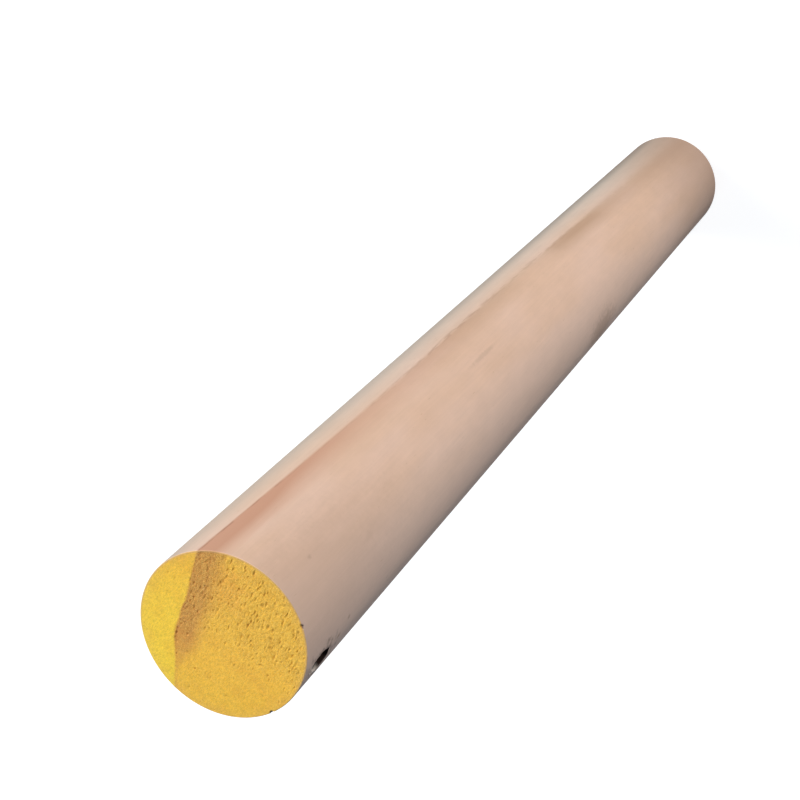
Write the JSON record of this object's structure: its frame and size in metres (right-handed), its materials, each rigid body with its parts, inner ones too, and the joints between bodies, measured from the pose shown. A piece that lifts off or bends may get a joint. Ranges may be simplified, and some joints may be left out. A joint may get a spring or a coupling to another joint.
{
  "type": "wooden dowel rod",
  "caption": "Plain round hardwood dowel rod, sawn square at both ends, one end painted yellow as a size mark, with a small slanted knot hole close to the paint.",
  "frame": {"origin": "centre of the bare end, which the rod stands on", "axes": "+Z along the rod to the painted end; the knot hole lies on the -X side, a little towards -Y"},
  "size_m": [0.03, 0.03, 0.3],
  "materials": {
    "dowel_rod": "bare sanded wood, with one end painted matte yellow"
  },
  "bodies": {
    "root": {"dowel_rod": "dowel_rod"}
  },
  "joints": []
}
